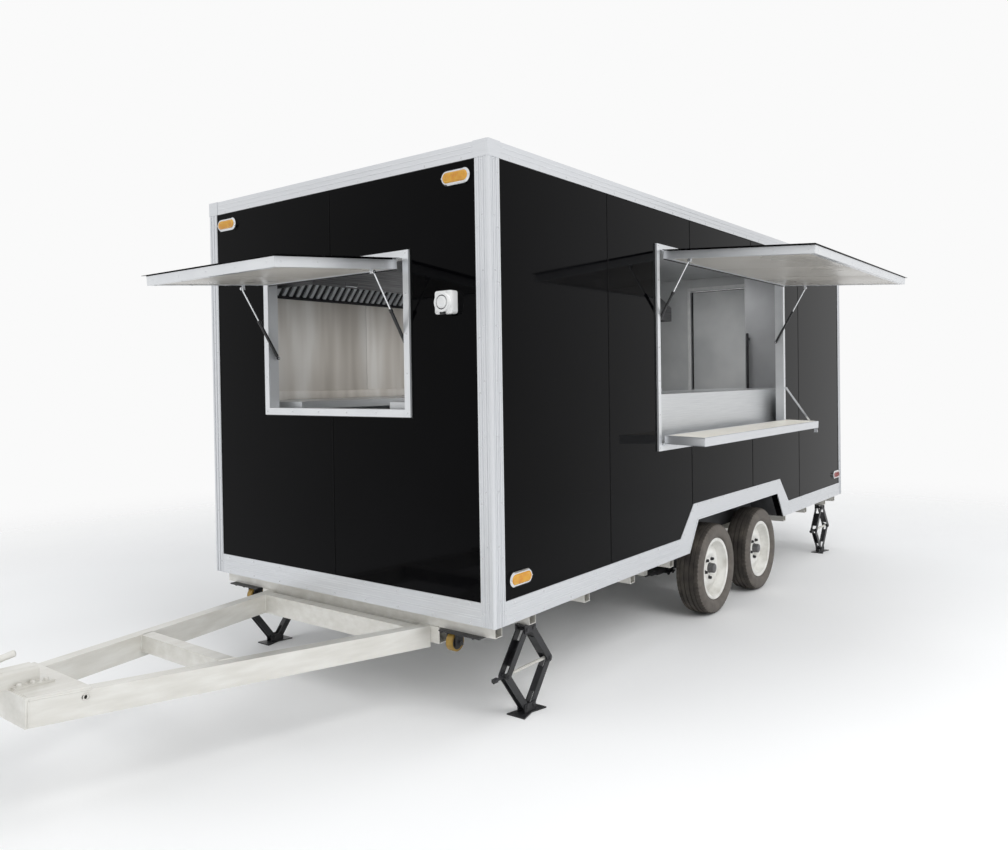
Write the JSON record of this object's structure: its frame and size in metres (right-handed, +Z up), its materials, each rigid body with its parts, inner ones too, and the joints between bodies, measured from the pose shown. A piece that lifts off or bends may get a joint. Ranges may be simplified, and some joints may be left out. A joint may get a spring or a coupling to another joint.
{
  "type": "food trailer",
  "caption": "Boxy black tandem-axle food trailer with awnings on gas struts over its windows, a fold-up counter, rear door, A-frame drawbar and scissor jacks.",
  "frame": {"origin": "on the ground, under the middle of the whole trailer's box with the awnings open", "axes": "+X forward along the drawbar, +Y to the serving side, +Z up"},
  "size_m": [6.7108, 2.8792, 2.523],
  "materials": {
    "black_panel": "glossy black sandwich panel",
    "white_panel": "off-white panel",
    "trim_aluminium": "satin extruded aluminium",
    "galvanised": "bright galvanised steel",
    "black_steel": "satin black steel",
    "tyre_rubber": "dusty black rubber",
    "rim_white": "white painted steel",
    "stainless": "brushed stainless sheet",
    "chrome": "bright chrome",
    "amber_lens": "clear amber lens",
    "red_lens": "clear red lens",
    "white_plastic": "white moulded plastic",
    "caster_tread": "amber polyurethane"
  },
  "bodies": {
    "trailer": {"serving_wall": "black_panel", "far_wall": "black_panel", "front_wall": "black_panel", "rear_wall": "black_panel", "floor_panel": "white_panel", "roof_panel": "white_panel", "corner_posts": "trim_aluminium", "roof_trim": "trim_aluminium", "skirt_trim": "trim_aluminium", "wheel_boxes": "trim_aluminium", "side_window_frame": "trim_aluminium", "front_window_frame": "trim_aluminium", "door_frame": "trim_aluminium", "chassis_rails": "galvanised", "chassis_crossmembers": "galvanised", "drawbar": "galvanised", "coupler": "galvanised", "axles": "black_steel", "leaf_springs": "black_steel", "spring_hangers": "galvanised", "jack_brackets": "black_steel", "jack_feet": "black_steel", "jack_screws": "black_steel", "jack_upper_arms": "black_steel", "jack_lower_arms": "black_steel", "caster_brackets": "black_steel", "lamp_housings": "chrome", "amber_lenses": "amber_lens", "red_lenses": "red_lens", "power_inlet": "white_plastic", "serving_bench": "stainless", "cooking_bench": "stainless", "range_hood": "stainless", "hood_filters": "stainless", "upright_fridge": "white_panel"},
    "side_awning": {"side_awning": "trim_aluminium", "side_awning_panel": "black_panel"},
    "front_awning": {"front_awning": "trim_aluminium", "front_awning_panel": "black_panel"},
    "counter": {"counter_shelf": "trim_aluminium"},
    "counter_stay": {"counter_stay": "chrome"},
    "rear_door": {"rear_door": "black_panel", "door_handle": "chrome"},
    "side_strut_cylinders": {"side_strut_cylinders": "black_steel"},
    "side_strut_rods": {"side_strut_rods": "chrome"},
    "front_strut_cylinders": {"front_strut_cylinders": "black_steel"},
    "front_strut_rods": {"front_strut_rods": "chrome"},
    "left_caster": {"left_caster_wheel": "caster_tread"},
    "right_caster": {"right_caster_wheel": "caster_tread"},
    "front_left_wheel": {"front_left_tyre": "tyre_rubber", "front_left_rim": "rim_white"},
    "front_right_wheel": {"front_right_tyre": "tyre_rubber", "front_right_rim": "rim_white"},
    "rear_left_wheel": {"rear_left_tyre": "tyre_rubber", "rear_left_rim": "rim_white"},
    "rear_right_wheel": {"rear_right_tyre": "tyre_rubber", "rear_right_rim": "rim_white"}
  },
  "joints": [
    {"name": "front_left_wheel_spin", "type": "hinge", "parent": "trailer", "child": "front_left_wheel", "pos_m": [-0.65591, 0.47443, 0.288], "axis": [0, 1, 0], "continuous": true},
    {"name": "front_right_wheel_spin", "type": "hinge", "parent": "trailer", "child": "front_right_wheel", "pos_m": [-0.65591, -1.32157, 0.288], "axis": [0, 1, 0], "continuous": true},
    {"name": "rear_left_wheel_spin", "type": "hinge", "parent": "trailer", "child": "rear_left_wheel", "pos_m": [-1.42091, 0.47443, 0.288], "axis": [0, 1, 0], "continuous": true},
    {"name": "rear_right_wheel_spin", "type": "hinge", "parent": "trailer", "child": "rear_right_wheel", "pos_m": [-1.42091, -1.32157, 0.288], "axis": [0, 1, 0], "continuous": true},
    {"name": "left_caster_spin", "type": "hinge", "parent": "trailer", "child": "left_caster", "pos_m": [1.61159, 0.29943, 0.356], "axis": [0, 1, 0], "continuous": true},
    {"name": "right_caster_spin", "type": "hinge", "parent": "trailer", "child": "right_caster", "pos_m": [1.61159, -1.14657, 0.356], "axis": [0, 1, 0], "continuous": true},
    {"name": "side_awning_hinge", "type": "hinge", "parent": "trailer", "child": "side_awning", "pos_m": [-0.83841, 0.59143, 2.228], "axis": [1, 0, 0], "range_deg": [-86.2, 0]},
    {"name": "side_strut_turn", "type": "hinge", "parent": "trailer", "child": "side_strut_cylinders", "pos_m": [-0.83841, 0.53143, 1.766], "axis": [1, 0, 0], "range_deg": [0, 30.69]},
    {"name": "side_strut_stroke", "type": "slide", "parent": "side_strut_cylinders", "child": "side_strut_rods", "axis": [0, 0.5008, 0.8656], "range_m": [-0.15538, 0]},
    {"name": "front_awning_hinge", "type": "hinge", "parent": "trailer", "child": "front_awning", "pos_m": [1.68659, -0.40957, 2.071], "axis": [0, -1, 0], "range_deg": [-85.3, 0]},
    {"name": "front_strut_turn", "type": "hinge", "parent": "trailer", "child": "front_strut_cylinders", "pos_m": [1.62959, -0.40957, 1.646], "axis": [0, -1, 0], "range_deg": [0, 33.18]},
    {"name": "front_strut_stroke", "type": "slide", "parent": "front_strut_cylinders", "child": "front_strut_rods", "axis": [0.5271, 0, 0.8498], "range_m": [-0.15045, 0]},
    {"name": "counter_hinge", "type": "hinge", "parent": "trailer", "child": "counter", "pos_m": [-0.83841, 0.59143, 1.136], "axis": [1, 0, 0], "range_deg": [0, 92]},
    {"name": "counter_stay_pivot", "type": "hinge", "parent": "trailer", "child": "counter_stay", "pos_m": [-1.84241, 0.59843, 1.424], "axis": [1, 0, 0], "range_deg": [-35.05, 0]},
    {"name": "rear_door_hinge", "type": "hinge", "parent": "trailer", "child": "rear_door", "pos_m": [-3.31341, -0.81357, 1.4795], "axis": [0, 0, 1], "range_deg": [0, 110]}
  ],
  "couplings": [
    {"joint": "side_strut_turn", "follows": "side_awning_hinge", "ratio": -0.35545},
    {"joint": "side_strut_stroke", "follows": "side_awning_hinge", "m_per_rad": 0.10314},
    {"joint": "front_strut_turn", "follows": "front_awning_hinge", "ratio": -0.38842},
    {"joint": "front_strut_stroke", "follows": "front_awning_hinge", "m_per_rad": 0.10093},
    {"joint": "counter_stay_pivot", "follows": "counter_hinge", "ratio": -0.38049}
  ]
}
